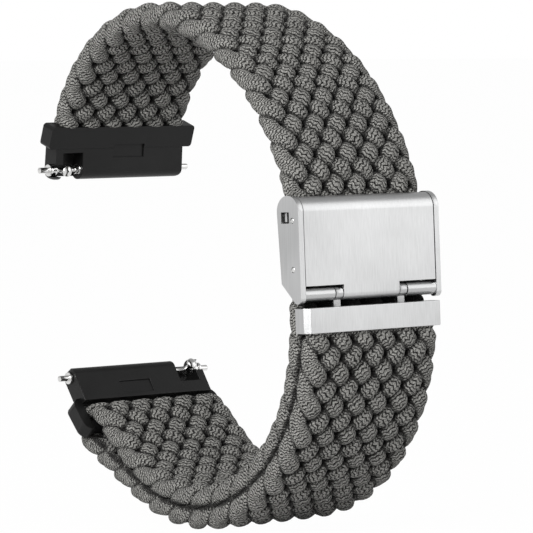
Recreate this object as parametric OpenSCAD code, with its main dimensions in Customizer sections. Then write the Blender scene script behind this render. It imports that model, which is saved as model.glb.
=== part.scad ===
// Braided watch strap with a fold-over clasp and two quick release spring bar adapters.
// X runs across the strap, Y from the clasp at the front to the watch side, Z up.
// The origin is the middle of the upper spring bar. All sizes are in millimetres.

/* [Spring bars] */
// Gap between the watch lugs
lug_w = 22; // [20:0.5:24]
// Radius of a spring bar tip
tip_r = 0.4; // [0.3:0.05:0.45]
// Length of a spring bar tip outside its shoulder
tip_len = 1.4; // [1:0.1:2]
// Radius of the shoulder behind each tip
shoulder_r = 0.8; // [0.7:0.05:0.85]
// Thickness of the shoulder
shoulder_t = 0.35; // [0.2:0.05:0.5]
// Outer radius of the spring bar tube
tube_r = 0.75; // [0.65:0.05:0.8]
// Wall of the spring bar tube
tube_wall = 0.13; // [0.1:0.01:0.15]
// Travel of the quick release knob
release_travel = 1.6; // [1:0.1:1.8]
// Radius of the release knob's neck
neck_r = 0.38; // [0.3:0.02:0.45]
// Radius of the release knob's head
knob_r = 0.75; // [0.6:0.05:0.85]

/* [Adapters] */
// Play between the adapter and each lug
lug_play = 0.2; // [0.1:0.05:0.4]
// Thickness of the adapter body around the bar
body_t = 2.6; // [2.2:0.1:3]
// Distance from the bar axis to the flange
body_h = 3.6; // [3.2:0.1:4.2]
// Flange beyond each side of the adapter body
flange_over = 1.35; // [1:0.05:2]
// Thickness of the upper flange
flange_t = 2.2; // [2:0.1:2.6]
// Height of the upper flange
flange_h = 2.8; // [2.6:0.1:3.4]
// Corner radius of the flanges
flange_corner = 0.5; // [0.3:0.1:0.8]
// Tilt of the upper adapter body
upper_tilt = 5; // [0:1:10]
// Tilt of the upper flange, where the strap leaves it
start_h = 19; // [14:1:24]
// Tilt of the lower adapter body
lower_tilt = 35; // [30:1:40]
// Thickness of the lower flange
slot_plate_t = 2; // [1.8:0.1:2.2]
// Distance from the lower bar axis to the cross bar
cross_bar_at = 7.5; // [7.3:0.1:8.2]
// Radius of the cross bar
cross_bar_r = 0.95; // [0.8:0.05:1.05]
// Play between the strap and each side of its slot
slot_play = 0.25; // [0.2:0.05:0.4]
// Width of the window for the release knob
window_w = 3.3; // [3.1:0.1:3.8]
// Wall between the window and the end of the adapter
window_wall = 1.2; // [1:0.1:1.4]
// Depth of the bare label recess
recess_d = 0.2; // [0.1:0.05:0.4]

/* [Strap] */
// Width of the braided band
strap_w = 20.8; // [20:0.2:21]
// Thickness of one layer of the band
strap_t = 2.3; // [2.1:0.1:2.4]
// Gap between the two layers
layer_gap = 0.1; // [0.1:0.05:0.3]
// Cords in the braid
cords = 12; // [8:2:16]
// Distance between two lumps of one column, along the band
lump_pitch = 4.14; // [3.6:0.02:5]
// Rise of the braid's lumps above the face of the band
lump_rise = 0.35; // [0.2:0.05:0.45]
// Depth of the hollows between the lumps
lump_dip = 0.55; // [0.3:0.05:0.65]
// Swell of the edge cords beyond the width of the band, on each side
edge_swell = 0.4; // [0.2:0.05:0.45]
// Depth of the notches between the edge cords
edge_notch = 0.5; // [0.3:0.05:0.8]
// Radius inside the top of the loop
top_r = 20.2; // [19:0.1:22]
// Angle at which the top of the loop ends
top_end = 106.5; // [100:0.5:112]
// Radius inside the upper front of the loop
front_r = 32.5; // [30:0.5:36]
// Angle at which the upper front ends
front_end = 159; // [155:0.5:162]
// Radius inside the bend above the clasp
mouth_r = 12; // [11:0.5:14]
// Angle of the clasp
clasp_h = 177; // [175:0.5:180]
// Straight length of the band in the clasp
clasp_run = 11.5; // [11.3:0.1:12.5]
// Radius inside the lower front of the loop
lower_r = 29.5; // [27:0.5:33]
// Angle at which the lower front ends
lower_end = 196; // [194:0.5:200]
// Radius inside the bottom of the loop
bottom_r = 20.5; // [19.5:0.1:22]
// Angle at which the bottom of the loop ends
bottom_end = 309.5; // [306:0.5:312]
// Straight length of the inner layer before the slot
slot_run = 6.8; // [6:0.1:8]

/* [Clasp] */
// Play between the band and both cheeks together
cheek_play = 1; // [0.6:0.1:1.4]
// Thickness of the cheeks
cheek_t = 0.8; // [0.7:0.05:1]
// Depth of the cheeks
cheek_d = 4.1; // [4.1:0.05:4.5]
// Length of the cheeks below the top bend
cheek_len = 10.7; // [10.7:0.1:11.3]
// Thickness of the clasp floor
floor_t = 0.4; // [0.3:0.05:0.45]
// Thickness of the flap
flap_t = 0.7; // [0.6:0.05:0.75]
// Radius of the hinge knuckles
knuckle_r = 0.9; // [0.8:0.05:0.95]
// Radius of the hinge pin
hinge_pin_r = 0.45; // [0.35:0.05:0.5]
// Width of the flap's tongue
tongue_w = 9.3; // [8:0.1:11]
// Width of each link arm
link_w = 1.15; // [1:0.05:1.5]
// Radius of the two cross pins
cross_pin_r = 0.35; // [0.3:0.05:0.38]
// Thickness of the grip plate
grip_t = 0.4; // [0.3:0.05:0.45]

/* [End bar] */
// End bar beyond each edge of the band
end_bar_over = 1; // [0.6:0.1:1.3]
// Height of the end bar
end_bar_h = 3.15; // [2.8:0.05:3.6]
// Wall of the end bar around the band
end_bar_wall = 0.45; // [0.35:0.05:0.5]
// Chamfer at both ends of the end bar
end_bar_chamfer = 0.7; // [0.4:0.1:0.9]

/* [Hidden] */
$fn = 64;
eps = 0.01;

steel = [0.78, 0.78, 0.78];
bright_steel = [0.88, 0.88, 0.86];
black_plastic = [0.08, 0.08, 0.08];
braid_grey = [0.33, 0.33, 0.32];

// Clearances
run_gap = 0.03;
rest_gap = 0.02;
soft_gap = 0.15;
plate_gap = 0.1;

// Directions in the YZ plane: out of the loop and along the band at an angle
function out(h) = [cos(h), sin(h)];
function along(h) = [-sin(h), cos(h)];

// Upper adapter, from the bar axis to the place where the band leaves the flange
flange_set = 0.35;
root_len = 2.1;
root_t = 1.2;
upper_lean = start_h - upper_tilt;
upper_joint = body_h * along(upper_tilt);
strap_start = upper_joint + flange_h * along(start_h) - strap_t / 2 * out(start_h);

// Inner face of the band, as arcs and straights that meet with one direction
top_c = strap_start - top_r * out(start_h);
front_start = top_c + top_r * out(top_end);
front_c = front_start - front_r * out(top_end);
mouth_start = front_c + front_r * out(front_end);
mouth_c = mouth_start - mouth_r * out(front_end);
clasp_o = mouth_c + mouth_r * out(clasp_h);
lower_start = clasp_o + clasp_run * along(clasp_h);
lower_c = lower_start - lower_r * out(clasp_h);
bottom_start = lower_c + lower_r * out(lower_end);
bottom_c = bottom_start - bottom_r * out(lower_end);
slot_start = bottom_c + bottom_r * out(bottom_end);
inner_end = slot_start + slot_run * along(bottom_end);

// Fold of the band round the cross bar of the lower adapter
fold_r = cross_bar_r + soft_gap;
fold_t = 1.85;
fold_c = inner_end + (strap_t + fold_r) * out(bottom_end);
outer_off = strap_t + layer_gap;
outer_r = bottom_r + outer_off;
fold_v = fold_c - bottom_c;
outer_end = atan2(fold_v[1], fold_v[0]) + 360 - acos((outer_r - fold_r) / norm(fold_v));
outer_run = sqrt(norm(fold_v) * norm(fold_v) - (outer_r - fold_r) * (outer_r - fold_r));

// Lower adapter, hung from its cross bar
cross_bar_set = 0.2;
lower_lean = 8;
lower_bar = fold_c - cross_bar_at * [-sin(lower_tilt), -cos(lower_tilt)]
    - cross_bar_set * [cos(lower_tilt), -sin(lower_tilt)];
slot_r = fold_r + fold_t + plate_gap;
slot_w = strap_w + 2 * slot_play;

// Spring bars, along X from the sprung end at -X
body_w = lug_w - 2 * lug_play;
flange_w = body_w + 2 * flange_over;
bore_r = tube_r - tube_wall;
shoulder_in = body_w / 2 + 0.04;
window_x0 = -body_w / 2 + window_wall;
window_x1 = window_x0 + window_w;
neck_x = window_x0 + 0.12 + neck_r;
channel_r = shoulder_r + 0.07;
plunger_rod_r = 0.26;
collar_r = 0.6;
collar_len = 0.9;
plunger_end = window_x1 + 3.2;
spring_x0 = plunger_end + release_travel + 0.1;
spring_x1 = spring_x0 + 6;
tip_plug = 2;
knob_y = -body_t / 2 - 0.1;
knob_t = 0.6;

// Clasp, in its own frame: -Y is outward, -Z along the band, 0 on the band's inner face
inner_w = strap_w + cheek_play;
cheek_r = cheek_d / 2;
cheek_top = 0.5;
toe_r = 0.72;
toe = [-cheek_d + toe_r, -cheek_len + 0.5];
toe_turn = -46;
heel = [-0.45, -cheek_len + 2.3];
floor_top = 0.2;
hinge = [-cheek_d + knuckle_r, -cheek_len + 0.9];
latch_at = [-2.88, -0.56];
grip_at = [-2.75, -6.64];
flap_w = inner_w - 0.2;
flap_low = hinge[1] + knuckle_r + 0.15;
lip_turn = 72;
sleeve_in = tongue_w / 2 + 2 * plate_gap + link_w + 0.05;
grip_tip = [-1.35, 0.3];
grip_knuckle_r = cross_pin_r + 0.25;
ear_h = 1;
window_h = 1.4;
window_d = 1.5;

// End bar, hung from the hinge pin by its two link arms
end_bar_w = strap_w + 2 * end_bar_over;
end_bar_top = -cheek_len - 0.75;
end_bar_in = -outer_off - 0.05;
end_bar_t = strap_t;
end_bar_low = end_bar_top - end_bar_h;
tail_start = clasp_h + (-end_bar_low - clasp_run) / (lower_r + outer_off) * 180 / PI;
tail_end = tail_start + 5;
tail_gap = 0.3;

module along_x(w) rotate([90, 0, 90]) linear_extrude(w, center = true) children();
module across(x0, x1) rotate([90, 0, 90]) translate([0, 0, x0]) linear_extrude(x1 - x0) children();
module rod(r, x0, x1) translate([x0, 0, 0]) rotate([0, 90, 0]) cylinder(r = r, h = x1 - x0);

// Rounded section of the band, from its inner face outward
module band_section(t) {
    translate([0, -strap_w / 2 + t / 2]) square([t, strap_w - t]);
    for (side = [-1, 1]) translate([t / 2, side * (strap_w - t) / 2]) circle(t / 2, $fn = 24);
}

// One curved stretch of the band round a centre in the YZ plane
module band_arc(c, r, t, h0, h1) {
    translate([0, c[0], c[1]]) rotate([90, 0, 90]) rotate([0, 0, h0])
        rotate_extrude(angle = h1 - h0, $fn = 120) translate([r, 0]) band_section(t);
}

// One straight stretch of the band from a point of its inner face
module band_straight(p, h, t, len) {
    translate([0, p[0], p[1]]) rotate([h, 0, 0]) linear_extrude(len)
        rotate([0, 0, 90]) band_section(t);
}

// Curved stretch with the braid's lumps on the faces that show, plain where it meets the next.
// Lumps and hollows alternate like the squares of a chessboard, one column for each cord.
module braided_arc(c, r, h0, h1, inside = true, outside = true) {
    mid = r + strap_t / 2;
    rows = 2 * max(1, round((h1 - h0) * PI / 180 * mid / lump_pitch));
    lumpy = [for (j = [0:cords]) j];
    plain = [0, 1, cords - 1, cords];
    top = outside ? lumpy : plain;
    low = inside ? lumpy : plain;
    ring = concat([for (j = top) [j, 1, outside]],
        [for (a = [len(low) - 1:-1:0]) [low[a], -1, inside]]);
    n = len(ring);

    // 1 on a lump, -1 in a hollow, 0 at both plain ends
    function kind(i, j) = i == 0 || i == rows ? 0 : (i + j) % 2 == 0 ? 1 : -1;
    function step(k, up, down) = k > 0 ? up : k < 0 ? -down : 0;
    function edge_x(j, k) = (j / cords - 0.5) * (strap_w + 2 * step(k, edge_swell, edge_notch));
    function face_z(k, shows) = strap_t / 2 + (shows ? step(k, lump_rise, lump_dip) : 0);
    function point(i, item) = let (j = item[0], k = kind(i, j), edge = j == 0 || j == cords,
        z = edge ? strap_t * (k > 0 ? 0.4 : 0.25) : face_z(k, item[2]),
        p = c + (mid + item[1] * z) * out(h0 + (h1 - h0) * i / rows))
        [edge ? edge_x(j, k) : (j / cords - 0.5) * strap_w, p[0], p[1]];

    // Each cell is split between its hollows, so that every lump stands alone
    function cell(i, a) = let (b = (a + 1) % n,
        q = [i * n + a, i * n + b, (i + 1) * n + b, (i + 1) * n + a])
        (i + ring[a][0]) % 2 == 0
            ? [[q[0], q[1], q[3]], [q[1], q[2], q[3]]]
            : [[q[0], q[1], q[2]], [q[0], q[2], q[3]]];

    polyhedron(
        points = [for (i = [0:rows], item = ring) point(i, item)],
        faces = concat(
            [for (i = [0:rows - 1], a = [0:n - 1], f = cell(i, a)) f],
            [for (a = [1:n - 2]) [0, a + 1, a]],
            [for (a = [1:n - 2]) [rows * n, rows * n + a, rows * n + a + 1]]),
        convexity = 10);
}

module rounded_plate(w, z0, z1, r) {
    translate([-w / 2 + r, z0]) square([w - 2 * r, z1 - z0]);
    translate([-w / 2, z0 + r]) square([w, z1 - z0 - 2 * r]);
    for (x = [-w / 2 + r, w / 2 - r]) for (z = [z0 + r, z1 - r]) translate([x, z]) circle(r);
}

module plate_xz(t) rotate([90, 0, 0]) linear_extrude(t, center = true) children();

// Body round the spring bar, with its window, channel, bore and label recess
module adapter_body() {
    intersection() {
        along_x(body_w) {
            circle(body_t / 2);
            translate([-body_t / 2, 0]) square([body_t, body_h + 0.6]);
        }
        plate_xz(2 * body_t) {
            rounded_plate(body_w, -body_t / 2, body_h + 3, 0.7);
        }
    }
}

module adapter_cuts() {
    rod(tube_r + rest_gap, window_x1 - eps, body_w / 2 + eps);
    rod(channel_r, -body_w / 2 - eps, window_x0 + eps);
    translate([-body_w / 2 - eps, -body_t, -channel_r])
        cube([window_wall + 2 * eps, body_t, 2 * channel_r]);
    translate([window_x0, -body_t, -body_t]) cube([window_w, body_t + channel_r, body_t + 2.4]);
    translate([-1.2, -body_t / 2 - 1, 1.7]) cube([5.2, 1 + recess_d, 1.8]);
}

// Adapter moulded onto the end of the band
module upper_adapter_shape() {
    difference() {
        union() {
            adapter_body();
            translate([0, 0, body_h]) rotate([upper_lean, 0, 0]) translate([0, -flange_set, 0])
                plate_xz(flange_t) rounded_plate(flange_w, -0.3, flange_h, flange_corner);
        }
        adapter_cuts();
        translate([0, 0, body_h]) rotate([upper_lean, 0, 0]) translate([0, 0, flange_h - root_len - rest_gap])
            linear_extrude(3) square([strap_w - 1 + 2 * rest_gap, root_t + 2 * rest_gap], center = true);
    }
}

// Adapter with the slot and the cross bar that the band folds round
module lower_adapter_shape() {
    difference() {
        union() {
            adapter_body();
            translate([0, cross_bar_set, cross_bar_at]) rotate([lower_lean, 0, 0])
                plate_xz(slot_plate_t)
                    rounded_plate(flange_w, -cross_bar_at + body_h - 0.2, cross_bar_r + 0.15, 1.3);
        }
        adapter_cuts();
        translate([0, cross_bar_set, cross_bar_at]) {
            rotate([lower_lean, 0, 0]) translate([-slot_w / 2, -3, -slot_r + 0.4])
                cube([slot_w, 6, slot_r + 2]);
            rod(slot_r, -slot_w / 2, slot_w / 2);
        }
    }
    translate([0, cross_bar_set, cross_bar_at]) rod(cross_bar_r, -slot_w / 2 - 0.5, slot_w / 2 + 0.5);
}

module bar_tube() {
    difference() {
        rod(tube_r, window_x1, body_w / 2);
        rod(bore_r, window_x1 - eps, body_w / 2 + eps);
    }
}

// Tip that is pressed into the far end of the tube
module bar_tip() {
    rod(bore_r - rest_gap, body_w / 2 - tip_plug, shoulder_in + eps);
    rod(shoulder_r, shoulder_in, shoulder_in + shoulder_t);
    rod(tip_r, shoulder_in, shoulder_in + shoulder_t + tip_len);
}

// Spring in the tube, at its length with the knob pulled in
module bar_spring() {
    difference() {
        rod(bore_r - rest_gap, spring_x0, spring_x1);
        rod(bore_r - 0.14, spring_x0 - eps, spring_x1 + eps);
    }
}

// Sprung tip, its rod and the guide inside the tube
module bar_plunger() {
    rod(tip_r, -shoulder_in - shoulder_t - tip_len, -shoulder_in);
    rod(shoulder_r, -shoulder_in - shoulder_t, -shoulder_in);
    rod(collar_r, -shoulder_in - eps, -shoulder_in + collar_len);
    rod(plunger_rod_r, -shoulder_in + collar_len - eps, window_x1 + 1);
    rod(bore_r - run_gap, window_x1 + release_travel + 0.1 - 2.2, plunger_end);
    translate([neck_x, 0.1, 0]) rotate([90, 0, 0]) cylinder(r = neck_r, h = 0.1 - knob_y);
}

// Domed head of the release knob
module bar_knob() {
    translate([neck_x, knob_y, 0]) rotate([90, 0, 0]) {
        cylinder(r = knob_r, h = knob_t - 0.3);
        translate([0, 0, knob_t - 0.3]) scale(1) intersection() {
            translate([0, 0, -0.8]) sphere(1.1);
            cylinder(r = knob_r, h = 0.3);
        }
    }
}

module at_upper() rotate([upper_tilt, 0, 0]) children();
module at_lower() translate([0, lower_bar[0], lower_bar[1]]) rotate([-lower_tilt, 0, 0])
    rotate([0, 180, 0]) children();
module at_clasp() translate([0, clasp_o[0], clasp_o[1]]) rotate([clasp_h - 180, 0, 0]) children();

module upper_adapter() color(black_plastic) at_upper() upper_adapter_shape();
module upper_bar_tube() color(steel) at_upper() bar_tube();
module upper_bar_tip() color(bright_steel) at_upper() bar_tip();
module upper_bar_spring() color(steel) at_upper() bar_spring();
module upper_plunger() color(bright_steel) at_upper() bar_plunger();
module upper_knob() color(bright_steel) at_upper() bar_knob();
module lower_adapter() color(black_plastic) at_lower() lower_adapter_shape();
module lower_bar_tube() color(steel) at_lower() bar_tube();
module lower_bar_tip() color(bright_steel) at_lower() bar_tip();
module lower_bar_spring() color(steel) at_lower() bar_spring();
module lower_plunger() color(bright_steel) at_lower() bar_plunger();
module lower_knob() color(bright_steel) at_lower() bar_knob();

// Single layer from the upper adapter over the top to the clasp
mouth_end = clasp_h - 7;
module strap_top() color(braid_grey) braided_arc(top_c, top_r, start_h, top_end);
module strap_front() color(braid_grey) braided_arc(front_c, front_r, top_end, front_end);
module strap_mouth() color(braid_grey) band_arc(mouth_c, mouth_r, strap_t, front_end, mouth_end);

// End of the band, moulded into the flange of the upper adapter
module strap_root() {
    color(braid_grey) at_upper() translate([0, 0, body_h]) rotate([upper_lean, 0, 0])
        translate([0, 0, flange_h - root_len]) linear_extrude(root_len)
            square([strap_w - 1, root_t], center = true);
}

// Stretch of the band squeezed between the clasp floor and the grip plate
module strap_clamped() {
    mouth_in = [mouth_r * (1 - cos(mouth_end - clasp_h)), mouth_r * sin(clasp_h - mouth_end)];
    mouth_out = [mouth_r - (mouth_r + strap_t) * cos(clasp_h - mouth_end),
        (mouth_r + strap_t) * sin(clasp_h - mouth_end)];
    squeeze = -floor_t - 0.05;
    grip_face = grip_tip[0] + grip_t;
    color(braid_grey) at_clasp() along_x(strap_w) polygon([
        mouth_in, [squeeze, floor_top + 0.15], [squeeze, 0],
        [heel[0] + squeeze, heel[1]], [heel[0] + squeeze, heel[1] - 0.4], [0, -clasp_run],
        [-strap_t, -clasp_run], [hinge[0] + knuckle_r + soft_gap, hinge[1] - knuckle_r],
        [hinge[0] + knuckle_r + soft_gap, grip_at[1] - 0.8],
        [grip_at[0] + grip_knuckle_r + plate_gap, grip_at[1] + 0.6],
        [grip_face, -1], [grip_face, floor_top + 0.3], mouth_out]);
}

// Inner layer from the clasp round the bottom to the slot of the lower adapter
module strap_inner_front() color(braid_grey)
    braided_arc(lower_c, lower_r, clasp_h, lower_end, outside = false);
module strap_inner_bottom() color(braid_grey)
    braided_arc(bottom_c, bottom_r, lower_end, bottom_end, outside = false);
module strap_inner_end() color(braid_grey) band_straight(slot_start, bottom_end, strap_t, slot_run);

// Fold of the band through the slot and round the cross bar
module strap_fold() {
    color(braid_grey) band_arc(fold_c, fold_r, fold_t, outer_end - 360, bottom_end - 180);
}

// Outer layer from the fold back to the tail
module strap_outer_end() color(braid_grey)
    band_straight(bottom_c + outer_r * out(outer_end), outer_end, strap_t, outer_run);
module strap_outer_bottom() color(braid_grey)
    braided_arc(bottom_c, outer_r, lower_end, outer_end, inside = false);
module strap_outer_front() color(braid_grey)
    braided_arc(lower_c, lower_r + outer_off, tail_end + tail_gap, lower_end, inside = false);

// Tail of the band, crimped in the end bar
module strap_tail() {
    color(braid_grey) {
        band_arc(lower_c, lower_r + outer_off, strap_t, tail_start, tail_end);
        at_clasp() translate([0, end_bar_in - end_bar_t / 2, (end_bar_top + end_bar_low) / 2 - 0.5])
            cube([strap_w - 0.2, end_bar_t - 2 * end_bar_wall - 0.1, end_bar_h - 0.6], center = true);
    }
}

// Bent frame of the clasp: two cheeks and the floor behind the band
module clasp_frame() {
    color(steel) at_clasp() {
        for (side = [-1, 1]) mirror([side > 0 ? 0 : 1, 0, 0]) {
            difference() {
                across(inner_w / 2, inner_w / 2 + cheek_t) cheek_outline();
                across(inner_w / 2 - 1, inner_w / 2 + cheek_t + 1) {
                    translate(latch_at) circle(cross_pin_r + rest_gap);
                    translate(grip_at) circle(cross_pin_r + rest_gap);
                    translate([-0.8 - window_d, -0.2 - window_h / 2]) square([window_d, window_h]);
                }
                across(inner_w / 2 - 1, inner_w / 2 + cheek_t / 2)
                    translate(hinge) circle(hinge_pin_r + rest_gap);
            }
        }
        along_x(inner_w + 2 * eps) polygon([[0, floor_top], [-floor_t, floor_top],
            [heel[0] - floor_t, heel[1]], heel]);
    }
}

module cheek_outline() {
    translate([-cheek_r, cheek_top]) circle(cheek_r);
    translate(toe) circle(toe_r);
    polygon([[0, cheek_top], [-cheek_d, cheek_top], [-cheek_d, toe[1]], toe,
        toe + toe_r * [cos(toe_turn), sin(toe_turn)], heel]);
}

module at_point(p) translate([0, p[0], p[1]]) children();

module hinge_pin() {
    reach = inner_w / 2 + cheek_t / 2 - 0.05;
    color(bright_steel) at_clasp() at_point(hinge) rod(hinge_pin_r, -reach, reach);
}

module sleeve(x0, x1) {
    at_clasp() at_point(hinge) difference() {
        rod(knuckle_r, x0, x1);
        rod(hinge_pin_r + rest_gap, x0 - eps, x1 + eps);
    }
}

module hinge_sleeve_left() color(bright_steel) sleeve(-inner_w / 2 + 0.02, -sleeve_in);
module hinge_sleeve_right() color(bright_steel) sleeve(sleeve_in, inner_w / 2 - 0.02);

module cross_pin(p) {
    reach = inner_w / 2 + cheek_t + 0.05;
    at_clasp() at_point(p) rod(cross_pin_r, -reach, reach);
}

module latch_pin() color(bright_steel) cross_pin(latch_at);
module grip_pin() color(bright_steel) cross_pin(grip_at);

// Toothed plate that turns on its pin and squeezes the band against the floor
module grip_plate() {
    w = inner_w - 0.2;
    low = [grip_at[0] + 0.1, grip_at[1]];
    color(steel) at_clasp() difference() {
        union() {
            along_x(w) {
                polygon([grip_tip, [grip_tip[0], grip_tip[1] - ear_h],
                    [low[0] + grip_t / 2, low[1]], [low[0] - grip_t / 2, low[1]],
                    [grip_tip[0] - grip_t, grip_tip[1] - ear_h], [grip_tip[0] - grip_t, grip_tip[1]]]);
                translate(grip_at) circle(grip_knuckle_r);
            }
            for (side = [-1, 1]) translate([side * (w / 2 + 0.35), grip_tip[0] - grip_t / 2,
                grip_tip[1] - ear_h / 2]) cube([0.75, grip_t, ear_h], center = true);
            for (x = [-9 : 1.5 : 9]) translate([x - 0.3, grip_tip[0] - eps, grip_tip[1] - ear_h])
                cube([0.6, 0.15, 0.4]);
        }
        along_x(w + 1) translate(grip_at) circle(cross_pin_r + run_gap);
    }
}

// Cover with a rounded lip at the top and a rolled tongue on the hinge pin
module flap() {
    lip_c = [-cheek_r, cheek_top];
    lip_r = cheek_r - 0.03;
    face = lip_c[0] - lip_r;
    color(steel) at_clasp() difference() {
        union() {
            along_x(flap_w) {
                translate([face, flap_low]) square([flap_t, cheek_top - flap_low]);
                intersection() {
                    translate(lip_c) difference() {
                        circle(lip_r);
                        circle(lip_r - flap_t);
                    }
                    translate(lip_c) polygon([[0, 0], [-4, 0], [-4, 4],
                        [-4 * cos(lip_turn), 4 * sin(lip_turn)]]);
                }
            }
            along_x(tongue_w) {
                translate([face, hinge[1]]) square([flap_t, flap_low - hinge[1] + eps]);
                translate(hinge) circle(knuckle_r - 0.03);
            }
        }
        along_x(tongue_w + 1) translate(hinge) circle(hinge_pin_r + run_gap);
    }
}

// Spring clip inside the flap that snaps beside the latch pin
module latch_clip() {
    face = -cheek_d + 0.03 + flap_t;
    hook = [latch_at[0] + 0.3, latch_at[1] - cross_pin_r - 0.06];
    color(bright_steel) at_clasp() for (x = [-7, 7]) translate([x, 0, 0]) along_x(2.4)
        polygon([[face, hook[1]], [hook[0], hook[1]], [hook[0], hook[1] - 0.35],
            [face + 0.3, hook[1] - 0.6], [face, hook[1] - 1.2]]);
}

// Box section that crimps the tail of the band
module end_bar() {
    w = end_bar_w / 2;
    c = end_bar_chamfer;
    y0 = end_bar_in;
    y1 = end_bar_in - end_bar_t;
    color(steel) at_clasp() difference() {
        translate([0, 0, end_bar_low]) linear_extrude(end_bar_h)
            polygon([[-w, y0], [w, y0], [w, y1 + c], [w - c, y1], [-w + c, y1], [-w, y1 + c]]);
        translate([0, (y0 + y1) / 2, end_bar_low + (end_bar_h - 0.8) / 2 - 0.05])
            cube([strap_w - 0.1, end_bar_t - 2 * end_bar_wall, end_bar_h - 0.7], center = true);
    }
}

// Two arms of the end bar, rolled round the hinge pin
module link_arms() {
    x0 = tongue_w / 2 + plate_gap;
    color(steel) at_clasp() for (side = [-1, 1]) mirror([side > 0 ? 0 : 1, 0, 0])
        difference() {
            across(x0, x0 + link_w) {
                translate(hinge) circle(knuckle_r - 0.03);
                translate([hinge[0] - 0.25, end_bar_top]) square([1, hinge[1] - end_bar_top]);
            }
            across(x0 - 1, x0 + link_w + 1) translate(hinge) circle(hinge_pin_r + run_gap);
        }
}

upper_adapter();
upper_bar_tube();
upper_bar_tip();
upper_bar_spring();
upper_plunger();
upper_knob();
lower_adapter();
lower_bar_tube();
lower_bar_tip();
lower_bar_spring();
lower_plunger();
lower_knob();
strap_root();
strap_top();
strap_front();
strap_mouth();
strap_clamped();
strap_inner_front();
strap_inner_bottom();
strap_inner_end();
strap_fold();
strap_outer_end();
strap_outer_bottom();
strap_outer_front();
strap_tail();
clasp_frame();
hinge_pin();
hinge_sleeve_left();
hinge_sleeve_right();
latch_pin();
grip_pin();
grip_plate();
flap();
latch_clip();
end_bar();
link_arms();
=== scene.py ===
"""Braided watch strap with a fold-over clasp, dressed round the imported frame."""

import math

import bmesh
import bpy
import numpy as np
from mathutils import Matrix, Vector


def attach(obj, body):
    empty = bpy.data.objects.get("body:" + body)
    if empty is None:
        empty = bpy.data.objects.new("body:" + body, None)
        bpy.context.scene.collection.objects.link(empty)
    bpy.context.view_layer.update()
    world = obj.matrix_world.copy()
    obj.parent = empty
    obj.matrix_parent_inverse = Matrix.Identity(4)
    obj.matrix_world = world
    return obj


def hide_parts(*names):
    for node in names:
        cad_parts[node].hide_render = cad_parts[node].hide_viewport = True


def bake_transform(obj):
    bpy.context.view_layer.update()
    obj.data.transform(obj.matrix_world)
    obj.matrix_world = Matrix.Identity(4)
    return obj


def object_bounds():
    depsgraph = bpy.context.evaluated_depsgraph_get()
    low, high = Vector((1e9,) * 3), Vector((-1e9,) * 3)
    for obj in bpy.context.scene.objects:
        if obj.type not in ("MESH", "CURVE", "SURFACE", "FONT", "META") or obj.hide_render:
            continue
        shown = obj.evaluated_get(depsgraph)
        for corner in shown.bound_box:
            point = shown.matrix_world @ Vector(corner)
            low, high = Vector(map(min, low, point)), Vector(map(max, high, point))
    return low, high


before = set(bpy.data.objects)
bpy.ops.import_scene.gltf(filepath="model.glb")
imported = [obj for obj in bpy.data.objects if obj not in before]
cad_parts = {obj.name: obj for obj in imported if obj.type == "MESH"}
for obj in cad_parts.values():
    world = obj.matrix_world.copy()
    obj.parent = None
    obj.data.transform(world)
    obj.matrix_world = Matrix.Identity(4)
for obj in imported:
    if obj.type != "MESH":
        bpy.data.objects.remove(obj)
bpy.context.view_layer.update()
MM = 0.001

# Camera, in millimetres and degrees
CAMERA_AT = (-282.8, -375.5, 15.6)
CAMERA_YAW = 39.53
CAMERA_PITCH = 3.55
CAMERA_ROLL = -0.17
CAMERA_FOV = 8.90

# The band's route, in millimetres and degrees, as in the CAD model
BODY_H = 3.6
FLANGE_H = 2.8
UPPER_TILT = 5
START_H = 19
BAND_T = 2.3
LAYER_GAP = 0.1
TOP_R, TOP_END = 20.2, 106.5
FRONT_R, FRONT_END = 32.5, 159
MOUTH_R = 12
CLASP_H = 177
CLASP_RUN = 11.5
LOWER_R, LOWER_END = 29.5, 196
BOTTOM_R, BOTTOM_END = 20.5, 309.5
SLOT_RUN = 6.8
CROSS_BAR_R = 0.95
FOLD_GAP = 0.15
FOLD_T = 1.85
END_BAR_TOP = -11.45
END_BAR_H = 3.15
ROUTE_STEP = 0.15
ROOT_IN = 2.0
TAIL_IN = 2.2
FOLD_POINTS = 60
# The tail is squeezed to this share of its thickness at the end bar, and further inside it
TAIL_SQUEEZE = 0.6
# Length of band above the end of the clasp where the upper and the inner braid meet
CLASP_SPLIT = 3

# The braid, in millimetres
CORDS = 12
CROSSING_X = 1.8
CROSSING_S = 2.07
CORD_HALF_W = 1.29
CORD_HALF_T = 1.05
WEAVE_H = 0.79
SPREAD = 1.10
EDGE_EASE = 4.9
CORD_SQUARENESS = 2.2
RING_STEP = 0.22
RING_POINTS = 20
# Every cord's stitches start this much later than those of the cord before it
STITCH_SHIFT = 3.1

# Crevice map for the painted shade in the braid's colour, in millimetres: cell, depth that counts
# as fully dark painted shade, and where the open edge of the band begins. The reach of the
# comparison is in cells. The last value says how much painted shade darkens the two layers' edges
# where they face each other.
CREVICE_CELL = 0.1035
CREVICE_REACH = 6
SAMPLE_STEP, SAMPLE_POINTS = 0.05, 200
CREVICE_DEPTH = 0.29
OPEN_EDGE = (9.7, 10.3)
LAYER_SHADE = 0.7

# Painted shade darkens the band's colour in the narrow gap between the hinge and the end bar: how
# far that reaches before and after the end of the clasp, in millimetres, and how much
HINGE_GAP = (2.6, 3.0)
HINGE_SHADE = 0.75

# Edge radii of the hard parts and the shortest edge that an adapter's bevel takes, in millimetres
ADAPTER_EDGE, ADAPTER_SHORTEST = 0.12, 1.3
CLASP_EDGE, END_BAR_EDGE, LINK_EDGE, THIN_EDGE = 0.06, 0.08, 0.04, 0.03
KNOB_EDGE, SMALL_EDGE, RIVET_DOME = 0.06, 0.05, 0.2

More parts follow.
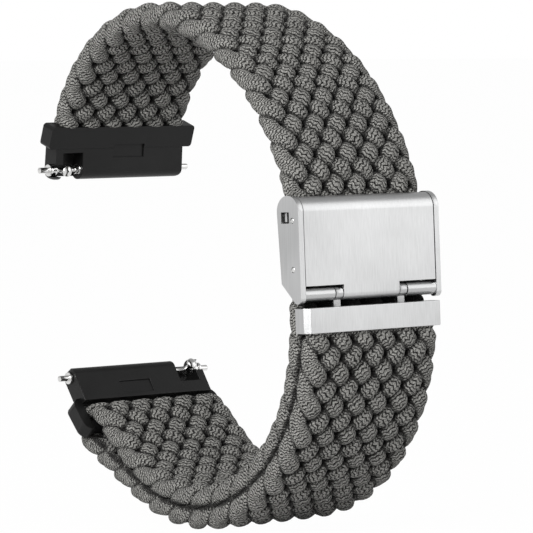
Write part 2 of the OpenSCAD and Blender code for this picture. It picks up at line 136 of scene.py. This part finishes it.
# Stage
FLOOR_REACH = 30.0
FLOOR_DROP = 0.0002
FLOOR_GLOW = 0.985
ROOM_LIGHT = 0.27
OVERHEAD_GREY = 0.4


def out(h):
    return np.array([math.cos(math.radians(h)), math.sin(math.radians(h))])


def along(h):
    return np.array([-math.sin(math.radians(h)), math.cos(math.radians(h))])


def smooth(t):
    t = np.clip(t, 0, 1)
    return t * t * (3 - 2 * t)


# Route of the band's middle surface: points in the YZ plane, normals, and how far it is squeezed


class Route:
    def __init__(self):
        self.at, self.normal, self.squeeze = [], [], []

    def add(self, at, normal, squeeze=1.0):
        self.at.append(at)
        self.normal.append(normal)
        self.squeeze.append(squeeze)

    def arc(self, centre, r, h0, h1, side=1, squeeze=None):
        count = max(4, int(abs(h1 - h0) / 180 * math.pi * r / ROUTE_STEP))
        for t in np.linspace(0, 1, count):
            h = h0 + t * (h1 - h0)
            self.add(centre + r * out(h), side * out(h), squeeze(t) if squeeze else 1.0)

    def straight(self, start, h, length, side=1, squeeze=None):
        count = max(4, int(length / ROUTE_STEP))
        for t in np.linspace(0, 1, count):
            self.add(start + t * length * along(h), side * out(h), squeeze(t) if squeeze else 1.0)

    def close(self):
        at = np.array(self.at)
        step = np.hypot(*np.diff(at, axis=0).T)
        keep = np.r_[True, step > 1e-6]
        self.at = at[keep]
        self.normal = np.array(self.normal)[keep]
        self.squeeze = np.array(self.squeeze)[keep]
        self.s = np.r_[0, np.cumsum(np.hypot(*np.diff(self.at, axis=0).T))]
        self.length = self.s[-1]

    def map(self, x, s, z):
        """Flat braid coordinates, in millimetres, to the part's own, in metres."""
        at = [np.interp(s, self.s, self.at[:, i]) for i in (0, 1)]
        n = [np.interp(s, self.s, self.normal[:, i]) for i in (0, 1)]
        z = z * np.interp(s, self.s, self.squeeze)
        size = np.hypot(*n)
        return np.stack([x, at[0] + n[0] / size * z, at[1] + n[1] / size * z], -1) * MM


half = BAND_T / 2
upper_joint = BODY_H * along(UPPER_TILT)
strap_start = upper_joint + FLANGE_H * along(START_H) - half * out(START_H)
top_c = strap_start - TOP_R * out(START_H)
front_c = top_c + (TOP_R - FRONT_R) * out(TOP_END)
mouth_c = front_c + (FRONT_R - MOUTH_R) * out(FRONT_END)
clasp_o = mouth_c + MOUTH_R * out(CLASP_H)
lower_start = clasp_o + CLASP_RUN * along(CLASP_H)
lower_c = lower_start - LOWER_R * out(CLASP_H)
bottom_c = lower_c + (LOWER_R - BOTTOM_R) * out(LOWER_END)
slot_start = bottom_c + BOTTOM_R * out(BOTTOM_END)
inner_end = slot_start + SLOT_RUN * along(BOTTOM_END)
fold_r = CROSS_BAR_R + FOLD_GAP
fold_c = inner_end + (BAND_T + fold_r) * out(BOTTOM_END)
outer_off = BAND_T + LAYER_GAP
outer_r = BOTTOM_R + outer_off
fold_v = fold_c - bottom_c
fold_reach = math.hypot(*fold_v)
outer_end = (
    math.degrees(math.atan2(fold_v[1], fold_v[0]))
    + 360
    - math.degrees(math.acos((outer_r - fold_r) / fold_reach))
)
outer_run = math.sqrt(fold_reach**2 - (outer_r - fold_r) ** 2)
end_bar_low = END_BAR_TOP - END_BAR_H
tail_start = CLASP_H + math.degrees((-end_bar_low - CLASP_RUN) / (LOWER_R + outer_off))
clasp_turn = math.radians(CLASP_H - 180)


def clasp_point(y, z):
    """A point of the clasp's own frame, in the YZ plane."""
    c, s = math.cos(clasp_turn), math.sin(clasp_turn)
    return clasp_o + np.array([y * c - z * s, y * s + z * c])


def clasp_squeeze(t):
    return 1 - 0.55 * smooth(t / 0.12) * smooth((1 - t) / 0.15)


band = Route()
band.straight(
    strap_start + half * out(START_H) - ROOT_IN * along(START_H),
    START_H,
    ROOT_IN,
    squeeze=lambda t: 0.38 + 0.5 * smooth((t - 0.7) / 0.3),
)
band.arc(top_c, TOP_R + half, START_H, TOP_END)
band.arc(front_c, FRONT_R + half, TOP_END, FRONT_END)
band.arc(mouth_c, MOUTH_R + half, FRONT_END, CLASP_H)
band.straight(clasp_o + half * out(CLASP_H), CLASP_H, CLASP_RUN, squeeze=clasp_squeeze)
clasp_count = len(band.at)
band.arc(lower_c, LOWER_R + half, CLASP_H, LOWER_END)
band.arc(bottom_c, BOTTOM_R + half, LOWER_END, BOTTOM_END)
band.straight(slot_start + half * out(BOTTOM_END), BOTTOM_END, SLOT_RUN)
fold_from, fold_to = BOTTOM_END - 180, outer_end - 360
for t in np.linspace(0, 1, FOLD_POINTS):
    tight = smooth(t / 0.25) * smooth((1 - t) / 0.25)
    a = fold_from + t * (fold_to - fold_from)
    r = fold_r + half - tight * (half - FOLD_T / 2)
    band.add(fold_c + r * out(a), -out(a), 1 - 0.4 * tight)
fold_count = len(band.at)
band.straight(
    bottom_c + (outer_r + half) * out(outer_end) + outer_run * along(outer_end),
    outer_end,
    -outer_run,
    side=-1,
)
band.arc(bottom_c, outer_r + half, outer_end, LOWER_END, side=-1)
band.arc(
    lower_c,
    LOWER_R + outer_off + half,
    LOWER_END,
    tail_start,
    side=-1,
    squeeze=lambda t: 1 - (1 - TAIL_SQUEEZE) * smooth((t - 0.84) / 0.16),
)
crimp = clasp_point(-outer_off - 0.05 - half, end_bar_low)
for t in np.linspace(0.05, 1, 20):
    tight = TAIL_SQUEEZE - 0.18 * smooth(t / 0.4)
    band.add(crimp + t * TAIL_IN * along(CLASP_H + 180), -out(CLASP_H), tight)
band.close()
layers_from = band.s[clasp_count]


def turn_height(t):
    """Height of a cord in its turn at the edge, 0 to 2: it keeps to the middle for a while."""
    c = np.cos(math.pi * t / 2)
    return 0.35 * c + 0.65 * c**3


def turn_roll(t):
    return 90 * smooth(t / 0.9) + 90 * smooth((t - 1.1) / 0.9)


def cord_path(phase):
    """Place, height, roll and girth of a cord at each phase, counted in crossings.

    A cord runs to the right over one half of its cycle and back over the other half. It is on top
    at every second crossing, runs out along each edge of the band and rolls over there.
    """
    n = CORDS
    p = np.mod(phase, 2 * n)
    u = np.where(p < n, p - n / 2, 3 * n / 2 - p)
    eased = np.maximum(np.abs(u) - EDGE_EASE, 0)
    x = np.minimum(np.abs(u), EDGE_EASE) + eased - eased**2 / (n - 2 * EDGE_EASE)
    x = np.sign(u) * x * CROSSING_X
    right_turn = p - (n - 1)
    left_turn = np.mod(p + 1, 2 * n)
    right = (right_turn >= 0) & (right_turn <= 2)
    left = left_turn <= 2
    height = np.cos(math.pi * p)
    z = WEAVE_H * height * np.where(p < n, -1, 1)
    z = np.where(right, WEAVE_H * turn_height(right_turn), z)
    z = np.where(left, -WEAVE_H * turn_height(left_turn), z)
    roll = np.where(p < n, 90.0, -90.0)
    roll = np.where(right, 90 - turn_roll(right_turn), roll)
    roll = np.where(left, -90 - turn_roll(left_turn), roll)
    crossing = np.abs(np.cos(math.pi * p))
    edge = smooth((np.abs(u) - n / 2 + 2) / 2)
    wide = (SPREAD - (SPREAD - 1) * crossing) * (1 - edge) + 0.88 * edge
    thick = (0.90 + 0.12 * crossing) * (1 - edge) + 0.88 * edge
    return x, z, np.radians(roll), wide, thick


def cord_rings(k, s0, s1, step=RING_STEP, points=RING_POINTS):
    """Rings of points round one cord between two places of the route, in flat coordinates."""
    s = np.arange(s0, s1 + step / 2, step)
    x, z, roll, wide, thick = cord_path(s / CROSSING_S + 2 * k)
    centre = np.stack([x, s, z], -1)
    tangent = np.gradient(centre, axis=0)
    tangent /= np.linalg.norm(tangent, axis=1)[:, None]
    normal = np.stack([np.cos(roll), np.zeros_like(roll), np.sin(roll)], -1)
    normal -= (normal * tangent).sum(1)[:, None] * tangent
    normal /= np.linalg.norm(normal, axis=1)[:, None]
    side = np.cross(tangent, normal)
    angle = np.linspace(0, 2 * math.pi, points, endpoint=False)
    c, w = (np.sign(f) * np.abs(f) ** (2 / CORD_SQUARENESS) for f in (np.cos(angle), np.sin(angle)))
    c = c[None, :, None] * (CORD_HALF_T * thick)[:, None, None]
    w = w[None, :, None] * (CORD_HALF_W * wide)[:, None, None]
    ring = centre[:, None] + normal[:, None] * c + side[:, None] * w
    run = np.r_[0, np.cumsum(np.linalg.norm(np.diff(centre, axis=0), axis=1))]
    return ring, run


class Crevices:
    """How far each place of the braid's faces and edges lies below its surroundings.

    The map covers one repeat of the braid: its two faces, then its two edges.
    """

    def __init__(self):
        self.half = CORDS * CROSSING_X / 2 + 1
        self.rows = int(round(2 * CROSSING_S / CREVICE_CELL))
        self.columns = int(round(2 * self.half / CREVICE_CELL))
        middle = CORDS * CROSSING_S
        top = np.zeros((4, self.rows, self.columns))
        for k in range(CORDS):
            s0, s1 = middle - 2, middle + 2 * CROSSING_S + 2
            ring, _ = cord_rings(k, s0, s1, SAMPLE_STEP, SAMPLE_POINTS)
            x, s, z = ring.reshape(-1, 3).T
            for side, across, height in ((0, x, z), (1, x, -z), (2, z, x - 8), (3, z, -x - 8)):
                np.maximum.at(top[side], self.cell(across, s), height)
        # close the few cells that no sample of the top cord fell into
        for pick in (np.maximum, np.minimum):
            for axis in (1, 2):
                top = pick(pick(top, np.roll(top, 1, axis)), np.roll(top, -1, axis))
        blurred = top.copy()
        shifts = range(-CREVICE_REACH // 2, CREVICE_REACH // 2 + 1)
        for _ in range(3):
            for axis in (1, 2):
                blurred = sum(np.roll(blurred, shift, axis) for shift in shifts) / len(shifts)
        self.depth = blurred - top

    def cell(self, across, s):
        row = np.floor(s / (2 * CROSSING_S) * self.rows).astype(int) % self.rows
        column = np.clip(((across + self.half) / CREVICE_CELL).astype(int), 0, self.columns - 1)
        return row, column

    def light(self, side, across, s):
        return 1 - smooth(self.depth[(side, *self.cell(across, s))] / CREVICE_DEPTH)

    # Painted light for the braid's colour: 1 where lit, lower where painted shade stands in for the
    # shade in crevices, deep in the weave, in the hinge gap and between the layers' edges
    def painted_light(self, x, s, z):
        face = self.light((z < 0).astype(int), x, s)
        # painted shade where the cord lies near the band's middle plane, deep in the weave
        face *= 1 - smooth((0.5 - np.abs(z)) / 0.3)
        past = s - layers_from
        # painted shade on the side of positive z in the gap between the hinge and the end bar
        under = smooth((past + HINGE_GAP[0]) / 0.6) * smooth((HINGE_GAP[1] - past) / 0.6)
        face *= 1 - HINGE_SHADE * under * (z > 0)
        edge = self.light(2 + (x < 0), z, s)
        # painted shade where the two layers' edges face each other
        facing = smooth((z - 0.82) / 0.36) * smooth(past / 4)
        edge *= 1 - LAYER_SHADE * facing
        share = smooth((np.abs(x) - OPEN_EDGE[0]) / (OPEN_EDGE[1] - OPEN_EDGE[0]))
        return face * (1 - share) + edge * share


def braid(name, s0, s1):
    """One mesh of all cords between two places of the route, with UVs in turns and millimetres."""
    verts, faces, uvs, painted_light_values = [], [], [], []
    base = 0
    for k in range(CORDS):
        ring, run = cord_rings(k, s0, s1)
        m, n = ring.shape[:2]
        flat = ring.reshape(-1, 3)
        verts.append(band.map(flat[:, 0], flat[:, 1], flat[:, 2]))
        painted_light_values.append(crevices.painted_light(flat[:, 0], flat[:, 1], flat[:, 2]))
        i, j = np.meshgrid(np.arange(m - 1), np.arange(n), indexing="ij")
        i, j = i.ravel(), j.ravel()
        j1 = (j + 1) % n
        faces.append(
            np.stack([i * n + j, i * n + j1, (i + 1) * n + j1, (i + 1) * n + j], -1) + base
        )
        u0, u1 = j / n, (j + 1) / n
        v0, v1 = run[i] + STITCH_SHIFT * k, run[i + 1] + STITCH_SHIFT * k
        uvs.append(np.stack([u0, v0, u1, v0, u1, v1, u0, v1], -1).reshape(-1, 2))
        base += m * n
    caps = []
    start = 0
    for k in range(CORDS):
        m = len(np.arange(s0, s1 + RING_STEP / 2, RING_STEP))
        caps.append(list(range(start + RING_POINTS - 1, start - 1, -1)))
        last = start + (m - 1) * RING_POINTS
        caps.append(list(range(last, last + RING_POINTS)))
        start += m * RING_POINTS
    mesh = bpy.data.meshes.new(name)
    mesh.from_pydata(np.concatenate(verts).tolist(), [], np.concatenate(faces).tolist() + caps)
    layer = mesh.uv_layers.new(name="UVMap")
    loops = np.zeros((len(mesh.loops), 2))
    side_uvs = np.concatenate(uvs)
    loops[: len(side_uvs)] = side_uvs
    layer.data.foreach_set("uv", loops.ravel())
    # painted light and shade for each point, which darkens the braid's colour
    painted_light = mesh.attributes.new("painted_light", "FLOAT", "POINT")
    painted_light.data.foreach_set("value", np.concatenate(painted_light_values))
    mesh.polygons.foreach_set("use_smooth", np.ones(len(mesh.polygons), bool))
    mesh.validate()
    obj = bpy.data.objects.new(name, mesh)
    bpy.context.scene.collection.objects.link(obj)
    return obj


# Materials


class Nodes:
    """Short calls for one material's node tree."""

    def __init__(self, name):
        self.material = bpy.data.materials.new(name)
        self.material.use_nodes = True
        self.tree = self.material.node_tree
        self.shader = self.tree.nodes["Principled BSDF"]

    def node(self, kind, **props):
        n = self.tree.nodes.new(kind)
        for key, value in props.items():
            setattr(n, key, value)
        return n

    def plug(self, socket, value):
        if isinstance(value, bpy.types.NodeSocket):
            self.tree.links.new(value, socket)
        else:
            socket.default_value = value

    def math(self, op, a, b=0.0):
        n = self.node("ShaderNodeMath", operation=op)
        for socket, value in zip(n.inputs, (a, b)):
            self.plug(socket, value)
        return n.outputs[0]

    def noise(self, vector, scale, detail=2.0, rough=0.5):
        n = self.node("ShaderNodeTexNoise")
        self.plug(n.inputs["Vector"], vector)
        n.inputs["Scale"].default_value = scale
        n.inputs["Detail"].default_value = detail
        n.inputs["Roughness"].default_value = rough
        return n.outputs["Fac"]

    def ramp(self, fac, *stops):
        n = self.node("ShaderNodeValToRGB")
        self.plug(n.inputs["Fac"], fac)
        e = n.color_ramp.elements
        while len(e) < len(stops):
            e.new(0.5)
        for item, (at, colour) in zip(e, stops):
            item.position = at
            item.color = (*colour, 1) if isinstance(colour, tuple) else (colour, colour, colour, 1)
        return n.outputs["Color"]

    def bump(self, height, distance):
        n = self.node("ShaderNodeBump")
        self.plug(n.inputs["Height"], height)
        n.inputs["Distance"].default_value = distance
        n.inputs["Strength"].default_value = 1.0
        self.plug(self.shader.inputs["Normal"], n.outputs["Normal"])

    def coords(self, scale=(1, 1, 1)):
        n = self.node("ShaderNodeTexCoord")
        m = self.node("ShaderNodeMapping")
        self.plug(m.inputs["Vector"], n.outputs["Object"])
        m.inputs["Scale"].default_value = scale
        return m.outputs["Vector"]

    def set(self, **values):
        for key, value in values.items():
            self.shader.inputs[key.replace("_", " ")].default_value = value


def braid_material():
    m = Nodes("braid_cord")
    uv = m.node("ShaderNodeUVMap", uv_map="UVMap")
    parts = m.node("ShaderNodeSeparateXYZ")
    m.plug(parts.inputs[0], uv.outputs[0])
    u, v = parts.outputs[0], parts.outputs[1]
    wobble = m.noise(m.coords(), 1000.0, 1.0)
    # knitted sleeve: chevron stitches in columns round each cord, dark between the stitches
    column = m.math("PINGPONG", m.math("MULTIPLY", u, 18.0), 1.0)
    phase = m.math("ADD", m.math("MULTIPLY", v, 1 / 0.30), m.math("MULTIPLY", column, 0.5))
    phase = m.math("ADD", phase, m.math("MULTIPLY", wobble, 1.1))
    gap = m.math("PINGPONG", phase, 0.5)
    stitch = m.node("ShaderNodeMapRange", interpolation_type="SMOOTHSTEP")
    m.plug(stitch.inputs["Value"], gap)
    stitch.inputs["From Min"].default_value = 0.0
    stitch.inputs["From Max"].default_value = 0.22
    joint = m.math("ABSOLUTE", m.math("SUBTRACT", m.math("MULTIPLY", column, 2.0), 1.0))
    joint = m.math("SUBTRACT", 1.0, m.math("MULTIPLY", m.math("POWER", joint, 5.0), 0.25))
    stitch = m.math("MULTIPLY", stitch.outputs["Result"], joint)
    fleck = m.noise(m.coords(), 5200.0, 2.0, 0.7)
    painted_light = m.node("ShaderNodeAttribute", attribute_name="painted_light").outputs["Fac"]
    tone = m.math("ADD", m.math("MULTIPLY", stitch, 0.45), m.math("MULTIPLY", fleck, 1.05))
    # the painted light attribute darkens the colour with painted shade in crevices and gaps
    tone = m.math("MULTIPLY", tone, m.math("ADD", m.math("MULTIPLY", painted_light, 0.93), 0.07))
    colour = m.ramp(
        tone,
        (0.36, (0.002, 0.0020, 0.0018)),
        (0.80, (0.058, 0.057, 0.054)),
        (1.12, (0.350, 0.346, 0.328)),
    )
    m.plug(m.shader.inputs["Base Color"], colour)
    m.set(Roughness=0.9)
    m.shader.inputs["Specular IOR Level"].default_value = 0.12
    m.shader.inputs["Sheen Weight"].default_value = 0.03
    m.shader.inputs["Sheen Roughness"].default_value = 0.5
    m.bump(m.math("ADD", stitch, m.math("MULTIPLY", fleck, 0.5)), 0.00018)
    return m.material


def steel_material(name, colour, rough, brush=(9000, 9000, 160), depth=0.000004):
    m = Nodes(name)
    lines = m.noise(m.coords(brush), 1.0, 3.0, 0.6)
    broad = m.noise(m.coords(), 90.0, 2.0)
    m.plug(
        m.shader.inputs["Roughness"],
        m.math("ADD", rough - 0.05, m.math("MULTIPLY", lines, 0.12)),
    )
    value = m.math("ADD", m.math("MULTIPLY", lines, 0.5), m.math("MULTIPLY", broad, 0.5))
    m.plug(
        m.shader.inputs["Base Color"],
        m.ramp(
            value,
            (0.3, tuple(c * 0.82 for c in colour)),
            (0.7, tuple(min(1, c * 1.1) for c in colour)),
        ),
    )
    m.set(Metallic=1.0)
    m.bump(lines, depth)
    return m.material


def plastic_material():
    m = Nodes("satin_black_plastic")
    grain = m.noise(m.coords(), 5200.0, 3.0)
    wear = m.noise(m.coords(), 240.0, 3.0)
    m.plug(m.shader.inputs["Base Color"], m.ramp(wear, (0.3, 0.0050), (0.7, 0.0085)))
    m.plug(m.shader.inputs["Roughness"], m.math("ADD", 0.3, m.math("MULTIPLY", wear, 0.16)))
    m.shader.inputs["Specular IOR Level"].default_value = 0.22
    m.bump(grain, 0.00001)
    return m.material


BRAID = braid_material()
BRUSHED = steel_material("brushed_steel", (0.595, 0.598, 0.60), 0.34)
SLEEVE = steel_material("turned_steel", (0.50, 0.502, 0.504), 0.26, (160, 9000, 9000), 0.000002)
POLISHED = steel_material("polished_steel", (0.72, 0.718, 0.71), 0.14, (900, 900, 900), 0.000001)
PLASTIC = plastic_material()


def dress(node, body, material, bevel, segments=2, shortest=0.0):
    """A rounded-edge copy of a CAD node, which it replaces."""
    form = bmesh.new()
    form.from_mesh(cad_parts[node].data)
    bmesh.ops.remove_doubles(form, verts=form.verts, dist=1e-7)
    bmesh.ops.dissolve_limit(
        form, angle_limit=math.radians(0.3), verts=form.verts, edges=form.edges
    )
    corners = [
        e
        for e in form.edges
        if e.is_manifold
        and e.is_convex
        and e.calc_face_angle() > math.radians(35)
        and e.calc_length() > shortest * MM
    ]
    bmesh.ops.bevel(
        form,
        geom=corners,
        offset=bevel * MM,
        offset_type="OFFSET",
        segments=segments,
        profile=0.5,
        affect="EDGES",
        clamp_overlap=not shortest,
    )
    for face in form.faces:
        face.smooth = True
    for edge in form.edges:
        edge.smooth = edge.is_manifold and edge.calc_face_angle() < math.radians(32)
    mesh = bpy.data.meshes.new(node + "_dressed")
    form.to_mesh(mesh)
    form.free()
    mesh.materials.append(material)
    obj = bpy.data.objects.new(mesh.name, mesh)
    bpy.context.scene.collection.objects.link(obj)
    weighted = obj.modifiers.new("flat_faces", "WEIGHTED_NORMAL")
    weighted.mode = "FACE_AREA"
    weighted.weight = 100
    weighted.keep_sharp = True
    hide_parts(node)
    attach(obj, body)
    return obj


def paint(node, material):
    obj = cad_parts[node]
    obj.data.materials.clear()
    obj.data.materials.append(material)


# The band
crevices = Crevices()
split = band.s[fold_count - FOLD_POINTS // 2]
clasp_split = layers_from - CLASP_SPLIT
upper_braid = braid("braid_upper", 0.0, clasp_split)
inner_braid = braid("braid_inner", clasp_split, split)
outer_braid = braid("braid_outer", split, band.length)
for piece in (upper_braid, inner_braid, outer_braid):
    piece.data.materials.append(BRAID)
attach(upper_braid, "strap")
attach(inner_braid, "strap")
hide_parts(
    "strap_root", "strap_top", "strap_front", "strap_mouth", "strap_clamped"
)
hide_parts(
    "strap_inner_front", "strap_inner_bottom", "strap_inner_end", "strap_fold"
)
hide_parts("strap_outer_end", "strap_outer_bottom", "strap_outer_front", "strap_tail")
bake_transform(outer_braid)

# Hard parts
ENDS = (("upper", "strap", "upper_release"), ("lower", "lower_end", "lower_release"))
for end, body, release in ENDS:
    dress(
        f"{end}_adapter", body, PLASTIC, ADAPTER_EDGE, 3, shortest=ADAPTER_SHORTEST
    )
    for node in (f"{end}_bar_tube", f"{end}_bar_spring"):
        paint(node, POLISHED)
    dress(f"{end}_bar_tip", body, POLISHED, SMALL_EDGE)
    dress(f"{end}_plunger", release, POLISHED, SMALL_EDGE)
    dress(f"{end}_knob", release, POLISHED, KNOB_EDGE)
dress("clasp_frame", "strap", BRUSHED, CLASP_EDGE)
dress("flap", "cover", BRUSHED, CLASP_EDGE)
dress("end_bar", "tail_end", BRUSHED, END_BAR_EDGE)
dress("link_arms", "tail_end", SLEEVE, LINK_EDGE)
dress("grip_plate", "grip", BRUSHED, THIN_EDGE)
dress("latch_clip", "cover", POLISHED, THIN_EDGE)
for node in ("hinge_sleeve_left", "hinge_sleeve_right"):
    dress(node, "strap", SLEEVE, SMALL_EDGE)
for node in ("latch_pin", "grip_pin"):
    dress(node, "strap", POLISHED, RIVET_DOME, 5)
paint("hinge_pin", POLISHED)


# Stage, light and camera


def plain_rays(tree, path):
    """1 for the rays that show the plain white background: camera, glossy and transmission."""
    total = path.outputs["Is Camera Ray"]
    for ray in ("Is Glossy Ray", "Is Transmission Ray"):
        larger = tree.nodes.new("ShaderNodeMath")
        larger.operation = "MAXIMUM"
        tree.links.new(total, larger.inputs[0])
        tree.links.new(path.outputs[ray], larger.inputs[1])
        total = larger.outputs[0]
    return total


def white_floor():
    """A floor that shows plain white, and keeps a little of its own shading for the shadow."""
    material = bpy.data.materials.new("floor_white")
    material.use_nodes = True
    tree = material.node_tree
    tree.nodes.clear()
    output = tree.nodes.new("ShaderNodeOutputMaterial")
    mix = tree.nodes.new("ShaderNodeMixShader")
    diffuse = tree.nodes.new("ShaderNodeBsdfDiffuse")
    diffuse.inputs["Color"].default_value = (0.9, 0.9, 0.9, 1)
    glow = tree.nodes.new("ShaderNodeEmission")
    share = tree.nodes.new("ShaderNodeMath")
    share.operation = "MULTIPLY"
    share.inputs[1].default_value = FLOOR_GLOW
    path = tree.nodes.new("ShaderNodeLightPath")
    tree.links.new(plain_rays(tree, path), share.inputs[0])
    tree.links.new(share.outputs[0], mix.inputs["Fac"])
    tree.links.new(diffuse.outputs[0], mix.inputs[1])
    tree.links.new(glow.outputs[0], mix.inputs[2])
    tree.links.new(mix.outputs[0], output.inputs["Surface"])
    return material


lo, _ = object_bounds()
floor_mesh = bpy.data.meshes.new("floor")
corners = [(-1, -1), (1, -1), (1, 1), (-1, 1)]
floor_mesh.from_pydata(
    [(x * FLOOR_REACH, y * FLOOR_REACH, lo.z - FLOOR_DROP) for x, y in corners], [], [(0, 1, 2, 3)]
)
floor = bpy.data.objects.new("floor", floor_mesh)
bpy.context.scene.collection.objects.link(floor)
floor_mesh.materials.append(white_floor())

world = bpy.data.worlds.new("studio")
bpy.context.scene.world = world
world.use_nodes = True
tree = world.node_tree
background = tree.nodes["Background"]
background.inputs["Color"].default_value = (1, 1, 1, 1)
path = tree.nodes.new("ShaderNodeLightPath")
seen = plain_rays(tree, path)
level_node = tree.nodes.new("ShaderNodeMapRange")
level_node.inputs["To Min"].default_value = ROOM_LIGHT
level_node.inputs["To Max"].default_value = 1.0
tree.links.new(seen, level_node.inputs["Value"])
# the room that metal shows is white all round and greyer overhead
way = tree.nodes.new("ShaderNodeTexCoord")
upward = tree.nodes.new("ShaderNodeVectorMath")
upward.operation = "DOT_PRODUCT"
upward.inputs[1].default_value = (0, 0.3, 0.95)
tree.links.new(way.outputs["Generated"], upward.inputs[0])
room = tree.nodes.new("ShaderNodeMapRange")
room.inputs["From Min"].default_value = -0.1
room.inputs["From Max"].default_value = 0.75
room.inputs["To Min"].default_value = 1.0
room.inputs["To Max"].default_value = OVERHEAD_GREY
tree.links.new(upward.outputs["Value"], room.inputs["Value"])
glossy = tree.nodes.new("ShaderNodeMix")
glossy.inputs["A"].default_value = 1.0
tree.links.new(path.outputs["Is Glossy Ray"], glossy.inputs["Factor"])
tree.links.new(room.outputs[0], glossy.inputs["B"])
both = tree.nodes.new("ShaderNodeMath")
both.operation = "MULTIPLY"
tree.links.new(level_node.outputs[0], both.inputs[0])
tree.links.new(glossy.outputs["Result"], both.inputs[1])
tree.links.new(both.outputs[0], background.inputs["Strength"])

CENTRE = Vector((0, -25 * MM, -12 * MM))


def softbox(name, direction, distance, size, power):
    """An area lamp that faces the middle of the part."""
    data = bpy.data.lights.new(name, "AREA")
    data.shape = "RECTANGLE"
    data.size, data.size_y = size
    data.energy = power
    lamp = bpy.data.objects.new(name, data)
    bpy.context.scene.collection.objects.link(lamp)
    way = Vector(direction).normalized()
    lamp.location = CENTRE + way * distance
    lamp.rotation_euler = (-way).to_track_quat("-Z", "Y").to_euler()


softbox("key", (-0.95, -0.42, 0.62), 0.45, (0.2, 0.2), 1.62)
softbox("fill", (0.9, -0.8, 0.5), 0.5, (0.35, 0.35), 0.4)
softbox("top", (-0.4, 0.3, 0.8), 0.45, (0.3, 0.3), 0.1)
softbox("eye", (-0.72, -0.69, 0.12), 0.45, (0.06, 0.06), 0.12)

camera_data = bpy.data.cameras.new("camera")
camera = bpy.data.objects.new("camera", camera_data)
bpy.context.scene.collection.objects.link(camera)
bpy.context.scene.camera = camera
camera_data.sensor_width = 36
camera_data.lens = 18 / math.tan(math.radians(CAMERA_FOV) / 2)
camera_data.clip_start, camera_data.clip_end = 0.01, 100
yaw, pitch = math.radians(CAMERA_YAW), math.radians(CAMERA_PITCH)
look = Vector((math.sin(yaw) * math.cos(pitch), math.cos(yaw) * math.cos(pitch), -math.sin(pitch)))
camera.matrix_world = (
    Matrix.Translation(Vector(CAMERA_AT) * MM)
    @ look.to_track_quat("-Z", "Y").to_matrix().to_4x4()
    @ Matrix.Rotation(math.radians(CAMERA_ROLL), 4, "Z")
)
bpy.context.scene.view_settings.view_transform = "Standard"
